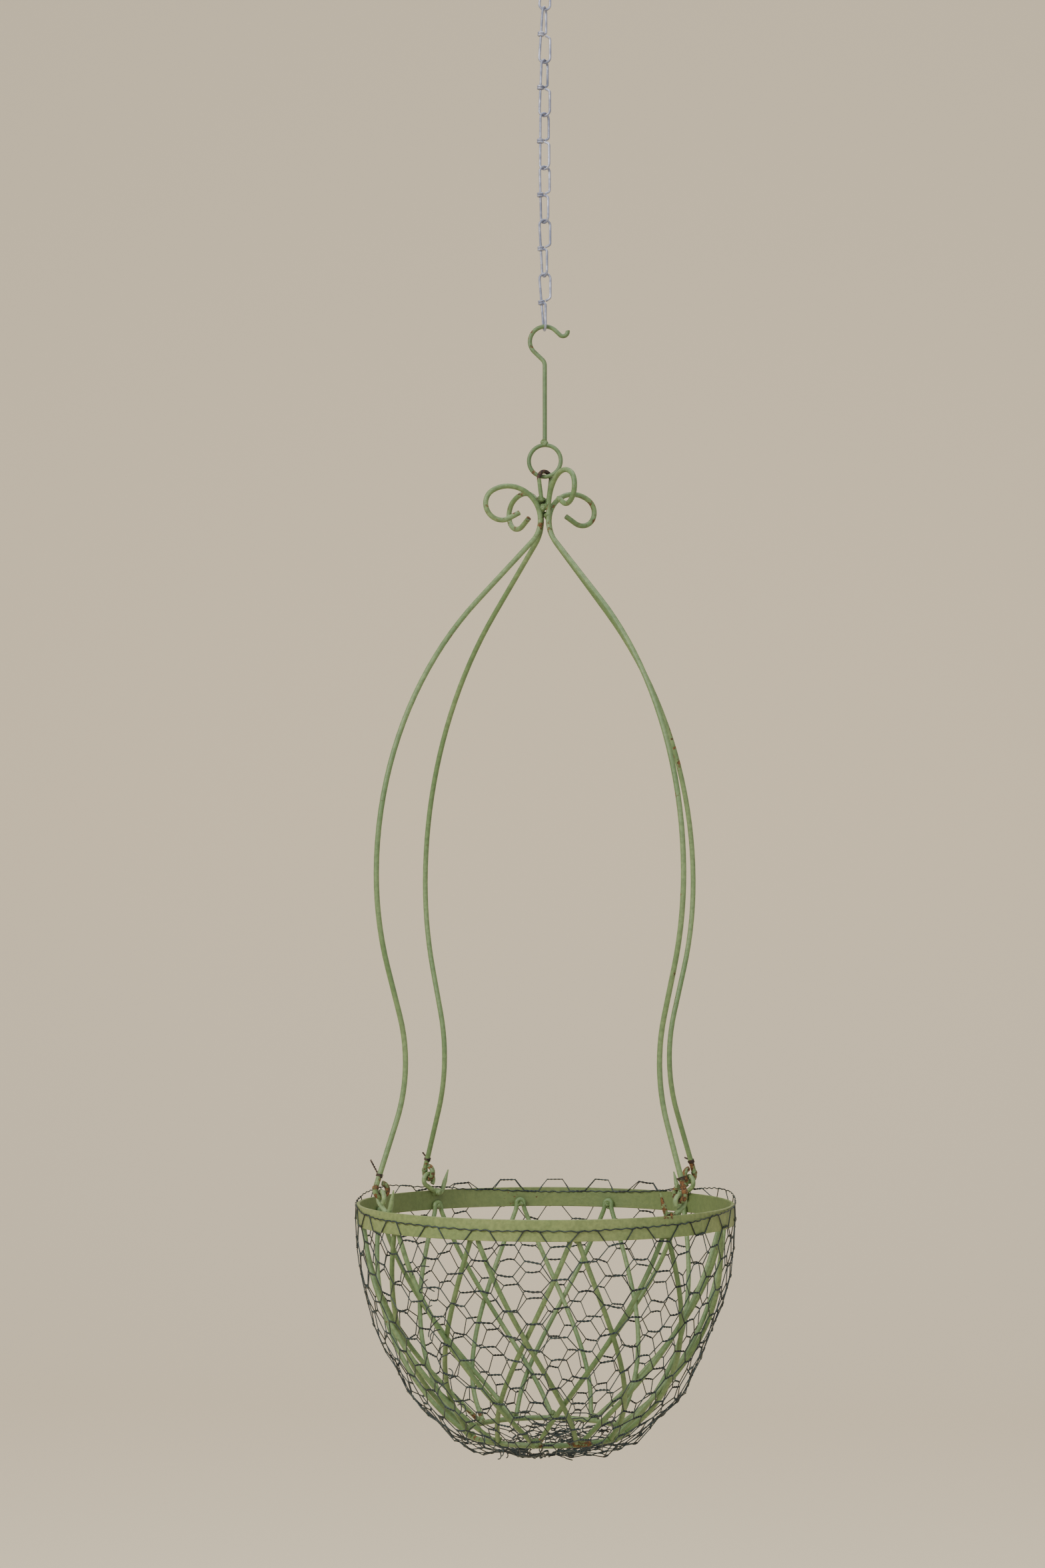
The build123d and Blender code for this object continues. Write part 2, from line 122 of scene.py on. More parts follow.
def paintMaterial(name, look):
    material, tree, shader, place = newMaterial(name)
    broad = ramp(tree, noiseValue(tree, place, look["broadScale"]), 0.35, 0.65)
    fine = ramp(tree, noiseValue(tree, place, look["fineScale"], 4.0), 0.3, 0.7)
    green = mixColour(tree, broad, colour(look["green"]), colour(look["greenWorn"]))
    green = mixColour(tree, maths(tree, "MULTIPLY", fine, 0.45), green, colour(look["greenDark"]))
    height = addNode(tree, "ShaderNodeSeparateXYZ", {0: place}).outputs["Z"]
    wear = None
    for low, high, strength in look["zones"]:
        middle, half = (low + high) / 2, (high - low) / 2
        away = maths(tree, "ABSOLUTE", maths(tree, "SUBTRACT", height, middle), 0.0)
        zone = ramp(tree, away, half * 1.6, half * 0.6, 0.0, strength)
        wear = zone if wear is None else maths(tree, "MAXIMUM", wear, zone)
    patches = ramp(tree, noiseValue(tree, place, look["patchScale"], 2.0), 0.5, 0.75, 0.0, look["patchWear"])
    wear = patches if wear is None else maths(tree, "ADD", wear, patches)
    chipNoise = noiseValue(tree, place, look["chipScale"], 6.0, 0.65)
    level = maths(tree, "ADD", chipNoise, maths(tree, "MULTIPLY", wear, 0.32))
    chip = ramp(tree, level, look["chipFrom"], look["chipFrom"] + 0.035)
    edge = ramp(tree, level, look["chipFrom"] - 0.03, look["chipFrom"])
    rustNoise = ramp(tree, noiseValue(tree, place, look["rustScale"], 5.0), 0.35, 0.65)
    rust = mixColour(tree, rustNoise, colour(look["rustDark"]), colour(look["rust"]))
    green = mixColour(tree, maths(tree, "MULTIPLY", edge, 0.35), green, colour(look["stain"]))
    # painted shade: the band's inner face is mixed towards dark green, standing in for the shade it gets
    # from facing into the bowl
    if look["insideRadius"]:
        flat = addNode(tree, "ShaderNodeVectorMath", {0: place, 1: (1.0, 1.0, 0.0)}, operation="MULTIPLY")
        away = addNode(tree, "ShaderNodeVectorMath", {0: flat.outputs[0]}, operation="LENGTH")
        edgeRadius = look["insideRadius"]
        inside = ramp(tree, away.outputs["Value"], edgeRadius, edgeRadius - mm, 0.0, look["insideShade"])
        green = mixColour(tree, inside, green, colour(look["greenDark"]))
    tree.links.new(mixColour(tree, chip, green, rust), shader.inputs["Base Color"])
    rough = ramp(tree, chip, 0.0, 1.0, look["roughness"], 0.88)
    tree.links.new(rough, shader.inputs["Roughness"])
    shader.inputs["Specular IOR Level"].default_value = look["shine"]
    bumpHeight = maths(tree, "SUBTRACT", maths(tree, "MULTIPLY", fine, look["brushDepth"]), chip)
    bump = addNode(tree, "ShaderNodeBump", {
        "Strength": look["bump"], "Distance": look["bumpDistance"], "Height": bumpHeight})
    tree.links.new(bump.outputs["Normal"], shader.inputs["Normal"])
    return material


paint = {
    "green": "5c7547", "greenWorn": "6f8455", "greenDark": "3b5030", "stain": "55492c",
    "rust": "74502a", "rustDark": "38291a", "insideRadius": None,
    "insideShade": 0.55,
    "broadScale": 14.0, "fineScale": 260.0, "patchScale": 22.0, "patchWear": 0.75,
    "chipScale": 190.0, "chipFrom": 0.77, "rustScale": 500.0,
    "roughness": 0.5, "shine": 0.45, "brushDepth": 0.35, "bump": 0.55, "bumpDistance": 0.0006,
    "zones": [],
}
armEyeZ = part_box("arm_front_left")[0].z + 0.009
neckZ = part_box("hanger_eye")[0].z
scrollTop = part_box("arm_front_left")[1].z
armPaint = paintMaterial("armPaint", {**paint, "zones": [
    (armEyeZ - 0.012, armEyeZ + 0.012, 0.85), (neckZ - 0.035, neckZ + 0.004, 0.55),
    (scrollTop - 0.003, scrollTop + 0.003, 0.3)]})
hookPaint = paintMaterial("hookPaint", {
    **paint, "green": "4d663c", "greenWorn": "5d734a", "chipFrom": 0.76, "zones": [
    (neckZ + 0.01, neckZ + 0.03, 0.4)]})
bandPaint = paintMaterial("bandPaint", {
    **paint, "green": "6f804b", "greenWorn": "7c8852", "greenDark": "4c5c35", "patchWear": 0.6,
    "insideRadius": bandOuter - 1.4 * mm})
rodPaint = paintMaterial("rodPaint", {**paint, "patchWear": 0.6, "zones": [
    (rimTop - 0.24, rimTop - 0.205, 0.4)]})
rimHookPaint = paintMaterial("rimHookPaint", {
    **paint, "green": "6b8252", "greenWorn": "7d9162", "chipFrom": 0.75, "patchWear": 0.9})
eyePaint = paintMaterial("eyePaint", {
    **paint, "chipFrom": 0.7, "rust": "4a3226", "rustDark": "1f1a18", "zones": [
        (neckZ + 0.02, neckZ + 0.036, 1.0)]})
weldPaint = paintMaterial("weldPaint", {
    **paint, "green": "5f7549", "greenWorn": "6d8153", "greenDark": "2f3a22",
    "chipFrom": 0.75, "patchWear": 0.8, "bump": 0.9, "bumpDistance": 0.0012, "shine": 0.35})


# zinc wire: dull grey-blue with a faint mottle and dark lines where it is handled

def zincMaterial(name, look):
    material, tree, shader, place = newMaterial(name)
    mottle = ramp(tree, noiseValue(tree, place, look["mottleScale"], 4.0), 0.35, 0.65)
    base = mixColour(tree, mottle, colour(look["light"]), colour(look["dark"]))
    dirt = ramp(tree, noiseValue(tree, place, look["dirtScale"], 5.0), 0.6, 0.75)
    base = mixColour(tree, maths(tree, "MULTIPLY", dirt, look["dirtAmount"]), base, colour(look["dirt"]))
    tree.links.new(base, shader.inputs["Base Color"])
    shader.inputs["Metallic"].default_value = look["metallic"]
    tree.links.new(ramp(tree, mottle, 0.0, 1.0, *look["roughness"]), shader.inputs["Roughness"])
    bump = addNode(tree, "ShaderNodeBump", {
        "Strength": look["bump"], "Distance": 0.0003,
        "Height": noiseValue(tree, place, look["grainScale"], 3.0)})
    tree.links.new(bump.outputs["Normal"], shader.inputs["Normal"])
    return material


chainZinc = zincMaterial("chainZinc", {
    "light": "9ea2b4", "dark": "757a8e", "dirt": "5a5247", "mottleScale": 120.0, "dirtScale": 260.0,
    "dirtAmount": 0.5, "metallic": 0.55, "roughness": (0.38, 0.55), "bump": 0.25, "grainScale": 900.0})
nettingWire = zincMaterial("nettingWire", {
    "light": "2c3a3a", "dark": "161f20", "dirt": "3f3020", "mottleScale": 60.0, "dirtScale": 90.0,
    "dirtAmount": 0.35, "metallic": 0.25, "roughness": (0.42, 0.6), "bump": 0.2, "grainScale": 1200.0})
tieWire = zincMaterial("tieWire", {
    "light": "4a3c32", "dark": "2a221e", "dirt": "7a4022", "mottleScale": 200.0, "dirtScale": 300.0,
    "dirtAmount": 0.7, "metallic": 0.45, "roughness": (0.5, 0.75), "bump": 0.4, "grainScale": 1500.0})
print("stage: materials made")


# geometry node trees: round wire along lines, and lumps of weld on points

def newTree(name, sockets):
    tree = bpy.data.node_groups.new(name, "GeometryNodeTree")
    tree.interface.new_socket("Geometry", in_out="INPUT", socket_type="NodeSocketGeometry")
    tree.interface.new_socket("Geometry", in_out="OUTPUT", socket_type="NodeSocketGeometry")
    for label, kind, value in sockets:
        socket = tree.interface.new_socket(label, in_out="INPUT", socket_type=kind)
        if value is not None:
            socket.default_value = value
    source = addNode(tree, "NodeGroupInput")
    return tree, source.outputs


def closeTree(tree, geometry, material):
    smooth = addNode(tree, "GeometryNodeSetShadeSmooth", {"Geometry": geometry})
    real = addNode(tree, "GeometryNodeRealizeInstances", {"Geometry": smooth.outputs[0]})
    painted = addNode(tree, "GeometryNodeSetMaterial", {"Geometry": real.outputs[0], "Material": material})
    output = addNode(tree, "NodeGroupOutput")
    tree.links.new(painted.outputs[0], output.inputs[0])


wireTree, wireIn = newTree("wireAlongLines", [
    ("Radius", "NodeSocketFloat", 0.0005), ("Sides", "NodeSocketInt", 5),
    ("Material", "NodeSocketMaterial", None)])
lines = addNode(wireTree, "GeometryNodeMeshToCurve", {"Mesh": wireIn["Geometry"]})
section = addNode(wireTree, "GeometryNodeCurvePrimitiveCircle", {
    "Resolution": wireIn["Sides"], "Radius": wireIn["Radius"]})
tube = addNode(wireTree, "GeometryNodeCurveToMesh", {
    "Curve": lines.outputs[0], "Profile Curve": section.outputs[0], "Fill Caps": True})
closeTree(wireTree, tube.outputs[0], wireIn["Material"])

lumpTree, lumpIn = newTree("lumpsOnPoints", [
    ("Detail", "NodeSocketInt", 4), ("Roughness", "NodeSocketFloat", 0.3),
    ("Grain", "NodeSocketFloat", 260.0), ("Seed", "NodeSocketInt", 1),
    ("Material", "NodeSocketMaterial", None)])
ball = addNode(lumpTree, "GeometryNodeMeshIcoSphere", {"Radius": 1.0, "Subdivisions": lumpIn["Detail"]})
sizeRead = addNode(lumpTree, "GeometryNodeInputNamedAttribute", {"Name": "size"}, data_type="FLOAT_VECTOR")
turn = addNode(lumpTree, "FunctionNodeRandomValue", {
    0: (-0.4, -0.4, -0.4), 1: (0.4, 0.4, 0.4), "Seed": lumpIn["Seed"]}, data_type="FLOAT_VECTOR")
placed = addNode(lumpTree, "GeometryNodeInstanceOnPoints", {
    "Points": lumpIn["Geometry"], "Instance": ball.outputs["Mesh"], "Scale": sizeRead.outputs["Attribute"],
    "Rotation": turn.outputs["Value"]})
loose = addNode(lumpTree, "GeometryNodeRealizeInstances", {"Geometry": placed.outputs[0]})
spot = addNode(lumpTree, "GeometryNodeInputPosition")
grain = addNode(lumpTree, "ShaderNodeTexNoise", {
    "Vector": spot.outputs[0], "Scale": lumpIn["Grain"], "Detail": 2.0})
centred = addNode(lumpTree, "ShaderNodeMath", {0: grain.outputs["Fac"], 1: 0.5}, operation="SUBTRACT")
amount = addNode(lumpTree, "ShaderNodeMath", {
    0: centred.outputs[0], 1: lumpIn["Roughness"]}, operation="MULTIPLY")
reach = addNode(lumpTree, "ShaderNodeMath", {0: amount.outputs[0], 1: 0.012}, operation="MULTIPLY")
outward = addNode(lumpTree, "GeometryNodeInputNormal")
push = addNode(lumpTree, "ShaderNodeVectorMath", {
    0: outward.outputs[0], "Scale": reach.outputs[0]}, operation="SCALE")
bumpy = addNode(lumpTree, "GeometryNodeSetPosition", {
    "Geometry": loose.outputs[0], "Offset": push.outputs[0]})
closeTree(lumpTree, bumpy.outputs[0], lumpIn["Material"])


def socketName(tree, label):
    for item in tree.interface.items_tree:
        if item.item_type == "SOCKET" and item.in_out == "INPUT" and item.name == label:
            return item.identifier


def applyTree(name, mesh, tree, values, body, nodes=()):
    source = bpy.data.objects.new(name + "Source", mesh)
    bpy.context.collection.objects.link(source)
    modifier = source.modifiers.new("nodes", "NODES")
    modifier.node_group = tree
    for label, value in values.items():
        modifier[socketName(tree, label)] = value
    evaluated = source.evaluated_get(bpy.context.evaluated_depsgraph_get())
    made = bpy.data.meshes.new_from_object(evaluated)
    made.name = name
    bpy.data.objects.remove(source)
    piece = bpy.data.objects.new(name, made)
    bpy.context.collection.objects.link(piece)
    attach(piece, body)
    if nodes:
        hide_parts(*nodes)
    print("stage:", name, len(made.polygons), "faces")
    return piece


def linesMesh(name, routes):
    points = [p for route in routes for p in route]
    edges = []
    start = 0
    for route in routes:
        edges += [(start + i, start + i + 1) for i in range(len(route) - 1)]
        start += len(route)
    mesh = bpy.data.meshes.new(name)
    mesh.from_pydata([tuple(p) for p in points], edges, [])
    return mesh


def pointsMesh(name, points, sizes):
    mesh = bpy.data.meshes.new(name)
    mesh.from_pydata([tuple(p) for p in points], [], [])
    attribute = mesh.attributes.new("size", "FLOAT_VECTOR", "POINT")
    attribute.data.foreach_set("vector", [v for size in sizes for v in size])
    return mesh


def islands(node):
    # the separate solids of a CAD node, each as an array of its points
    work = bmesh.new()
    work.from_mesh(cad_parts[node].data)
    bmesh.ops.remove_doubles(work, verts=work.verts, dist=1e-5)
    left = set(work.verts)
    found = []
    while left:
        group, edge = [], [left.pop()]
        while edge:
            vert = edge.pop()
            group.append(tuple(vert.co))
            for link in vert.link_edges:
                other = link.other_vert(vert)
                if other in left:
                    left.discard(other)
                    edge.append(other)
        found.append(np.array(group))
    work.free()
    return sorted(found, key=lambda points: tuple(points.mean(0)))


def islandCentres(node):
    return [Vector((points.min(0) + points.max(0)) / 2) for points in islands(node)]


# hexagonal netting: each wire runs round the bowl and twists in turn with the wire above and below

netting = {
    "columns": 46, "cellHeight": 27.2 * mm, "twistLength": 15.5 * mm, "turns": 2, "twistSteps": 12,
    "wireRadius": 0.56 * mm, "strandGap": 0.58 * mm, "sides": 5, "rows": 24,
    "frontTop": -9.5 * mm, "backLift": 33.0 * mm, "aboveRim": 6.0 * mm, "outside": 0.9 * mm,
    "foldRadius": 2.4 * mm, "seamHeading": math.radians(-28), "probe": 2 * mm, "lastLine": 0.8,
    "selvageTurns": 2.5, "selvageGapShare": 0.8, "endShare": 0.995, "slopeStep": 4 * mm,
    "floor": -234 * mm, "floorWave": 4 * mm,
}
# how far the wires stray out, round and down: at the rim, and how much more at the foot
stray = {
    "rimLooseness": 0.15, "swellScales": (22.0, 60.0), "fineShare": 0.35, "swellShift": 0.15,
    "push": (0.4 * mm, 10.5 * mm), "pushPower": 1.6, "slide": (4.2 * mm, 5 * mm), "slideScale": 26.0,
    "drop": (3.4 * mm, 4 * mm), "dropScale": 30.0, "shiver": 1.6 * mm, "shiverScale": 90.0,
    "foldDropShare": 0.7, "floorScale": 40.0, "leastRadius": 0.03,
}
profile = [
    (178.9, -9.5), (178.9, -20), (176.5, -50), (172, -75), (164, -100), (146, -144), (127, -182),
    (113, -195), (100, -205), (86, -216), (70, -223), (40, -228), (12, -230), (26, -227), (58, -224)]


def smoothProfile(points, step=1.0, window=21):
    xs, ys = np.array(points, float).T
    along = np.concatenate([[0], np.cumsum(np.hypot(np.diff(xs), np.diff(ys)))])
    grid = np.arange(0, along[-1], step)
    flatX, flatY = np.interp(grid, along, xs), np.interp(grid, along, ys)
    kernel = np.ones(window) / window
    pad = window // 2
    wide = [np.pad(a, pad, mode="edge") for a in (flatX, flatY)]
    return grid * mm, np.convolve(wide[0], kernel, "valid") * mm, np.convolve(wide[1], kernel, "valid") * mm


gridS, gridR, gridZ = smoothProfile(profile)
reachS = float(gridS[-1])


def overRim(back):
    # back is the distance up from the band's outer middle, over the rim and down inside
    rise = netting["aboveRim"] - netting["frontTop"]
    outer = bandOuter + netting["outside"]
    fold = netting["foldRadius"]
    if back < rise:
        return outer, netting["frontTop"] + back
    turned = (back - rise) / fold
    if turned < math.pi:
        return outer - fold * (1 - math.cos(turned)), netting["aboveRim"] + fold * math.sin(turned)
    return outer - 2 * fold, netting["aboveRim"] - (back - rise - math.pi * fold)


def waver(place, scale, shift):
    return noise.noise(place * scale + Vector(shift))


def grown(sizes, share):
    return sizes[0] + sizes[1] * share


def netPoint(heading, depth):
    # depth is measured down the netting from its upper edge
    back = (1 - math.cos(heading)) / 2
    lift = netting["backLift"] * (back ** 1.5)
    run = depth - lift
    if run < 0:
        radius, height = overRim(-run)
        outNormal = (1.0, 0.0)
        loose = stray["rimLooseness"]
    else:
        run = min(run, reachS * netting["endShare"])
        radius = float(np.interp(run, gridS, gridR))
        height = float(np.interp(run, gridS, gridZ))
        ahead = min(run + netting["slopeStep"], reachS)
        behind = ahead - 2 * netting["slopeStep"]
        dr = float(np.interp(ahead, gridS, gridR)) - float(np.interp(behind, gridS, gridR))
        dz = float(np.interp(ahead, gridS, gridZ)) - float(np.interp(behind, gridS, gridZ))
        size = math.hypot(dr, dz) or 1.0
        outNormal = (-dz / size, dr / size)
        loose = min(1.0, run / reachS)
    place = Vector((math.sin(heading) * radius, -math.cos(heading) * radius, height))
    broadScale, fineScale = stray["swellScales"]
    swell = waver(place, broadScale, (0, 0, 0)) + stray["fineShare"] * waver(place, fineScale, (3, 1, 7))
    push = grown(stray["push"], loose ** stray["pushPower"]) * (swell + stray["swellShift"])
    slide = waver(place, stray["slideScale"], (9, 2, 4)) * grown(stray["slide"], loose)
    drop = waver(place, stray["dropScale"], (5, 8, 1)) * grown(stray["drop"], loose)
    drop += waver(place, stray["shiverScale"], (2, 6, 3)) * stray["shiver"]
    radius += push * outNormal[0]
    height += push * outNormal[1] + drop
    heading += slide / max(radius, stray["leastRadius"])
    if run >= 0:
        floor = netting["floor"] + netting["floorWave"] * waver(place, stray["floorScale"], (0, 0, 0))
        height = max(height, floor)
    else:
        height -= drop * stray["foldDropShare"]
    normal = Vector((math.sin(heading) * outNormal[0], -math.cos(heading) * outNormal[0], outNormal[1]))
    return Vector((math.sin(heading) * radius, -math.cos(heading) * radius, rimTop + height)), normal


def twistedRoute(headings, depths, side):
    route = []
    for heading, depth, angle in zip(headings, depths, side):
        point, normal = netPoint(heading, depth)
        below = netPoint(heading, depth + netting["probe"])[0]
        down = (below - point).normalized()
        offset = normal * math.sin(angle) + down * math.cos(angle)
        route.append(point + offset * netting["strandGap"])
    return route


def nettingRoutes():
    columns, level = netting["columns"], netting["cellHeight"] / 2
    pitch = 2 * math.pi / columns
    half = netting["twistLength"] / 2 / (bandOuter + netting["outside"])
    steps, turns = netting["twistSteps"], netting["turns"]
    routes = []
    for wire in range(netting["rows"]):
        headings, depths, side = [], [], []
        for column in range(columns + 1):
            upper = (wire + column) % 2 == 0
            line = wire if upper else wire + 1
            centre = netting["seamHeading"] + pitch * column
            # the strand starts on its own side of the pair: below it where it meets the wire above
            first = 0.0 if upper else math.pi
            if wire == netting["rows"] - 1 and not upper:
                line = wire + netting["lastLine"]
            for step in range(steps + 1):
                share = step / steps
                headings.append(centre + (2 * share - 1) * half)
                depths.append(line * level)
                side.append(first + share * turns * 2 * math.pi)
        routes.append(twistedRoute(headings, depths, side))
    selvage = []
    selvageSteps = columns * steps
    selvageGap = netting["strandGap"] * netting["selvageGapShare"]
    for step in range(selvageSteps + 1):
        share = step / selvageSteps
        heading = netting["seamHeading"] + share * 2 * math.pi
        point, normal = netPoint(heading, 0.0)
        angle = share * columns * netting["selvageTurns"] * 2 * math.pi
        offset = normal * math.sin(angle) - Vector((0, 0, 1)) * math.cos(angle)
        selvage.append(point + offset * selvageGap)
    routes.append(selvage)
    return routes


# loose wire ends along the seam
tails = {
    "count": 18, "length": 16 * mm, "steps": 14, "first": 35 * mm, "apart": 12 * mm, "sideCount": 12,
    "footFirst": 200 * mm, "footApart": 10 * mm, "across": (-0.04, 0.05), "lean": 0.8,
    "curl": (2.0, 4.6), "lengths": (0.6, 1.4), "outward": 0.45, "inTurn": 0.2,
}


def tailDepth(index):
    if index < tails["sideCount"]:
        return tails["first"] + tails["apart"] * index
    return tails["footFirst"] + tails["footApart"] * (index - tails["sideCount"])


def tailRoutes(dice):
    routes = []
    for index in range(tails["count"]):
        depth = tailDepth(index)
        heading = netting["seamHeading"] + dice.uniform(*tails["across"])
        start, normal = netPoint(heading, depth)
        along = Vector((math.cos(heading), math.sin(heading), 0)) * dice.choice((-1, 1))
        down = Vector((0, 0, -1))
        lean = dice.uniform(-tails["lean"], tails["lean"])
        curl = dice.uniform(*tails["curl"])
        length = tails["length"] * dice.uniform(*tails["lengths"])
        place, route = start.copy(), []
        for step in range(tails["steps"] + 1):
            share = step / tails["steps"]
            turned = curl * share * share
            direction = (along * math.cos(turned) + down * (lean + math.sin(turned))
                         + normal * (tails["outward"] - tails["inTurn"] * share))
            route.append(place.copy())
            place += direction.normalized() * length / tails["steps"]
        routes.append(route)
    return routes


# crumpled wire gathered inside the foot, thickest towards the front right
gathers = {"count": 46, "steps": 26, "stride": 2.4 * mm, "centre": (0.022, -0.014), "spread": 0.026,
           "reach": 0.064, "below": 0.013, "above": 0.01, "wander": 0.8, "climb": 0.35,
           "climbKept": 0.6}


def gatherRoutes(dice):
    ringLow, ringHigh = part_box("base_ring")
    low = ringLow.z - gathers["below"]
    high = ringHigh.z + gathers["above"]
    routes = []
    for index in range(gathers["count"]):
        place = Vector((dice.gauss(gathers["centre"][0], gathers["spread"]),
                        dice.gauss(gathers["centre"][1], gathers["spread"]), dice.uniform(low, high)))
        course, climb = dice.uniform(0, 2 * math.pi), 0.0
        route = []
        for step in range(gathers["steps"]):
            outward = place.to_2d().length / gathers["reach"]
            if outward > 1:
                place.x, place.y = place.x / outward, place.y / outward
            place.z = min(max(place.z, low), high)
            route.append(place.copy())
            course += dice.uniform(-gathers["wander"], gathers["wander"])
            climb = climb * gathers["climbKept"] + dice.uniform(-gathers["climb"], gathers["climb"])
            place += Vector((math.cos(course), math.sin(course), climb)) * gathers["stride"]
        routes.append(route)
    return routes


dice = random.Random(7)
netMesh = linesMesh("nettingLines", nettingRoutes() + tailRoutes(dice) + gatherRoutes(dice))
applyTree("nettingWires", netMesh, wireTree, {
    "Radius": netting["wireRadius"], "Sides": netting["sides"], "Material": nettingWire},
    "bowl", ["wire_netting"])


# soft wire wound round each arm above its eye, with a twisted end

ties = {"slip": -7 * mm, "turns": 2.6, "wireRadius": 0.5 * mm, "rodRadius": 2.5 * mm,
        "rise": 1.25 * mm, "endLengths": [15 * mm, 5 * mm, 6 * mm, 4 * mm], "steps": 16,
        "snug": 0.9, "startTurn": 1.3, "endOut": 0.8, "endUp": 0.72, "endUpLess": 0.24,
        "endSteps": 18, "endTurns": 2.75}
tieRoutes = []
for number, points in enumerate(islands("tie_wires")):
    middle = Vector((points.min(0) + points.max(0)) / 2)
    axis = Vector(np.linalg.svd(points - points.mean(0))[2][2])
    axis = axis if axis.z > 0 else -axis
    middle += axis * ties["slip"]
    endLength = ties["endLengths"][number]
    sideways = axis.cross(Vector((0, 0, 1))).normalized()
    across = axis.cross(sideways)
    snugWire = ties["wireRadius"] * ties["snug"]
    radius = ties["rodRadius"] + snugWire
    total = int(ties["turns"] * ties["steps"])
    start = number * ties["startTurn"]
    route = []
    for step in range(total + 1):
        angle = start + step / ties["steps"] * 2 * math.pi
        shift = axis * (ties["rise"] * (step / ties["steps"] - ties["turns"] / 2))
        route.append(middle + shift + (sideways * math.cos(angle) + across * math.sin(angle)) * radius)
    for strand in (0, 1):
        angle = start + ties["turns"] * 2 * math.pi
        outwardWay = sideways * math.cos(angle) + across * math.sin(angle)
        upward = ties["endUp"] - ties["endUpLess"] * number
        leave = (outwardWay * ties["endOut"] + axis * upward).normalized()
        cross = leave.cross(axis).normalized()
        other = leave.cross(cross)
        endRoute = []
        for step in range(ties["endSteps"] + 1):
            share = step / ties["endSteps"]
            spin = share * ties["endTurns"] * 2 * math.pi + strand * math.pi
            twist = (cross * math.cos(spin) + other * math.sin(spin)) * snugWire
            endRoute.append(route[-1] + leave * endLength * share + twist)
        tieRoutes.append(endRoute)
    tieRoutes.append(route)
applyTree("tieWires", linesMesh("tieLines", tieRoutes), wireTree, {
    "Radius": ties["wireRadius"], "Sides": 8, "Material": tieWire}, "hanger", ["tie_wires"])


# weld metal: uneven lumps where pieces are joined
lumpRoughness = 0.35

def lumps(name, spots, body, nodes, seed):
    points = [spot[0] for spot in spots]
    sizes = [tuple(s * mm for s in spot[1]) for spot in spots]
    return applyTree(name, pointsMesh(name + "Points", points, sizes), lumpTree, {
        "Roughness": lumpRoughness, "Seed": seed, "Material": weldPaint}, body, nodes)


def around(centre, count, spread, sizes, dice):
    found = []
    for index in range(count):
        shift = Vector([dice.uniform(-s, s) for s in spread]) * mm
        size = dice.uniform(*sizes)
        found.append((centre + shift, (size, size * dice.uniform(0.8, 1.1), size * dice.uniform(0.8, 1.15))))
    return found


# how many lumps each weld has, how far they spread from its middle and their radii, in millimetres
joints = [
    {"name": "rimWeldLumps", "node": "rim_welds", "outward": 1.2, "count": 3,
     "spread": (2.4, 2.4, 2.2), "sizes": (2.0, 2.9), "seed": 3},
    {"name": "baseWeldLumps", "node": "base_welds", "outward": 0.0, "count": 3,
     "spread": (3.0, 3.0, 1.5), "sizes": (2.4, 3.4), "seed": 4},
    {"name": "hookWeldLumps", "node": "hook_welds", "outward": 0.0, "count": 4,
     "spread": (3.6, 3.6, 2.6), "sizes": (2.4, 3.6), "seed": 5},
]
for joint in joints:
    spots = []
    for centre in islandCentres(joint["node"]):
        outwardStep = centre.to_2d().normalized().to_3d() * joint["outward"] * mm
        spots += around(centre + outwardStep, joint["count"], joint["spread"], joint["sizes"], dice)
    lumps(joint["name"], spots, "bowl", [joint["node"]], joint["seed"])

neckWeld = {"count": 14, "turn": 97, "rows": 7, "foot": 0.04, "share": 0.92, "outward": 3.6 * mm,
            "spread": (0.6, 0.6, 0.8), "sizes": (2.7, 3.5), "seed": 6}
neckLow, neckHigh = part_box("neck_weld")
neckSpots = []
for index in range(neckWeld["count"]):
    angle = math.radians(index * neckWeld["turn"])
    row = (index % neckWeld["rows"]) / (neckWeld["rows"] - 1)
    height = neckLow.z + (neckHigh.z - neckLow.z) * (neckWeld["foot"] + neckWeld["share"] * row)
    centre = Vector((math.cos(angle) * neckWeld["outward"], math.sin(angle) * neckWeld["outward"], height))
    neckSpots += around(centre, 1, neckWeld["spread"], neckWeld["sizes"], dice)
lumps("neckWeldLumps", neckSpots, "hanger", ["neck_weld"], neckWeld["seed"])
ringLow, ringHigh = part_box("ring_weld")
ringCentre = (ringLow + ringHigh) / 2
ringWeld = {"count": 4, "spread": (1.6, 0.8, 1.2), "sizes": (2.4, 3.0), "seed": 8}
ringSpots = around(ringCentre, ringWeld["count"], ringWeld["spread"], ringWeld["sizes"], dice)
lumps("ringWeldLumps", ringSpots, "hook", ["ring_weld"], ringWeld["seed"])


# paint and zinc on the frame's own pieces
finishes = {
    "chain_link": chainZinc, "arm_": armPaint, "hook_r": hookPaint, "hanger_eye": eyePaint,
    "rim_band": bandPaint, "rim_hook": rimHookPaint, "base_ring": rodPaint, "bowl_rod": rodPaint}
for name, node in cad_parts.items():
    for start, material in finishes.items():
        if name.startswith(start):
            if not node.data.materials:
                node.data.materials.append(material)
            for index in range(len(node.data.materials)):
                node.data.materials[index] = material


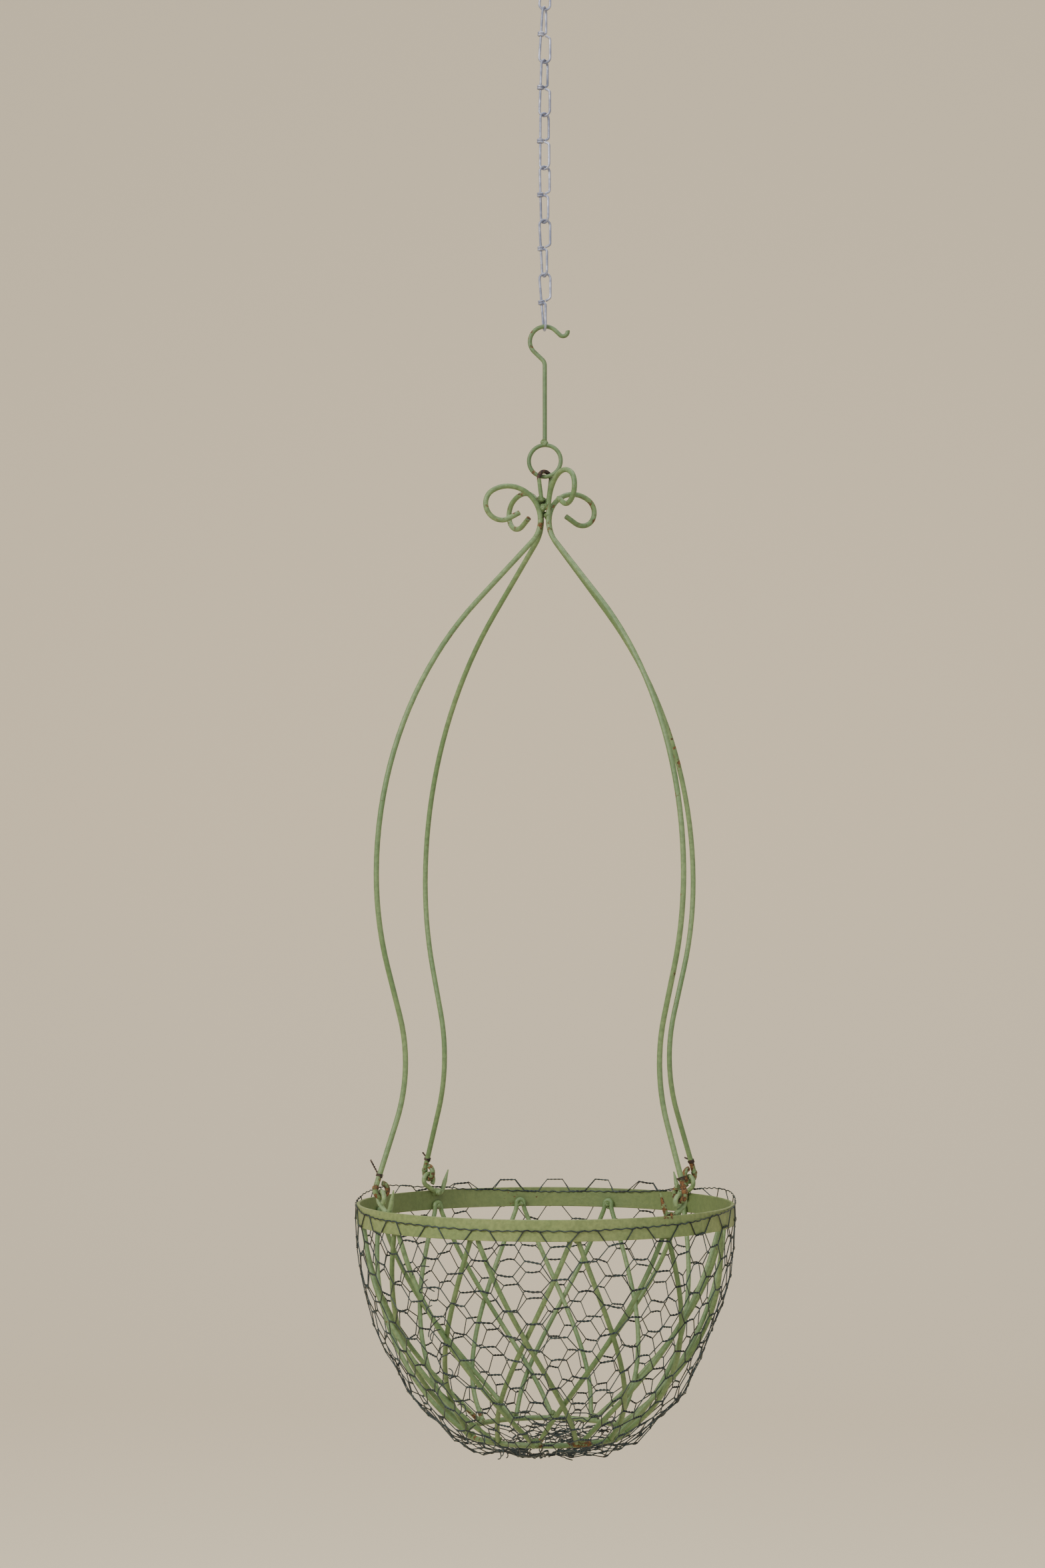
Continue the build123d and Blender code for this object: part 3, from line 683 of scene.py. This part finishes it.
# pale sweep of floor and wall, soft light and the camera
studio = {"floorBelow": 0.55, "wallBehind": 5.0, "curve": 1.5, "width": 16.0, "front": -6.0, "height": 7.0}
floorZ = cadBox[0].z - studio["floorBelow"]
outline = [(studio["front"], floorZ)]
for step in range(13):
    angle = step / 12 * math.pi / 2
    outline.append((studio["wallBehind"] - studio["curve"] + studio["curve"] * math.sin(angle),
                    floorZ + studio["curve"] * (1 - math.cos(angle))))
outline.append((studio["wallBehind"], floorZ + studio["height"]))
sweepPoints = [(side * studio["width"] / 2, y, z) for y, z in outline for side in (-1, 1)]
sweepFaces = [(2 * i, 2 * i + 1, 2 * i + 3, 2 * i + 2) for i in range(len(outline) - 1)]
sweepMesh = bpy.data.meshes.new("studioSweep")
sweepMesh.from_pydata(sweepPoints, [], sweepFaces)
sweepMesh.polygons.foreach_set("use_smooth", [True] * len(sweepMesh.polygons))
wall = {"colour": "d9cbb0", "roughness": 0.9, "glow": 0.36}
wallMaterial, wallShader = newMaterial("paleWall")[0::2]
wallShader.inputs["Base Color"].default_value = colour(wall["colour"])
wallShader.inputs["Roughness"].default_value = wall["roughness"]
wallShader.inputs["Emission Color"].default_value = colour(wall["colour"])
wallShader.inputs["Emission Strength"].default_value = wall["glow"]
sweepMesh.materials.append(wallMaterial)
sweep = bpy.data.objects.new("studioSweep", sweepMesh)
bpy.context.collection.objects.link(sweep)


def areaLight(name, place, target, size, energy, tint):
    light = bpy.data.lights.new(name, "AREA")
    light.shape = "DISK"
    light.size = size
    light.energy = energy
    light.color = tint
    lamp = bpy.data.objects.new(name, light)
    lamp.location = place
    lamp.rotation_euler = (Vector(target) - Vector(place)).to_track_quat("-Z", "Y").to_euler()
    bpy.context.collection.objects.link(lamp)


aim = (0, 0, rimTop + 0.3)
areaLight("keyLight", (-1.9, -2.2, 0.7), aim, 1.3, 95, (1.0, 0.96, 0.9))
areaLight("fillLight", (2.2, -1.8, -0.4), aim, 2.4, 16, (0.93, 0.96, 1.0))
areaLight("topLight", (0.2, 0.2, 1.6), aim, 2.0, 40, (1.0, 0.98, 0.95))
areaLight("wallLight", (0.0, -3.2, 1.2), (0, 1.5, -0.9), 2.5, 44, (1.0, 0.96, 0.9))
world = bpy.data.worlds.new("softWorld")
world.use_nodes = True
world.node_tree.nodes["Background"].inputs["Color"].default_value = (0.9, 0.93, 1.0, 1)
world.node_tree.nodes["Background"].inputs["Strength"].default_value = 0.5
bpy.context.scene.world = world

view = {"distance": 2.417, "azimuth": math.radians(7), "aboveRim": 0.210, "pitch": math.radians(4.41),
        "left": 0.0216, "focal": 58.16, "sensor": 36.0}
camera = bpy.data.cameras.new("camera")
camera.sensor_width = view["sensor"]
camera.lens = view["focal"]
cameraObject = bpy.data.objects.new("camera", camera)
sinA, cosA = math.sin(view["azimuth"]), math.cos(view["azimuth"])
cameraObject.location = (
    sinA * view["distance"] - cosA * view["left"], -cosA * view["distance"] - sinA * view["left"],
    rimTop + view["aboveRim"])
cameraObject.rotation_euler = (math.pi / 2 + view["pitch"], 0, view["azimuth"])
bpy.context.collection.objects.link(cameraObject)
bpy.context.scene.camera = cameraObject
print("stage: camera and light made")
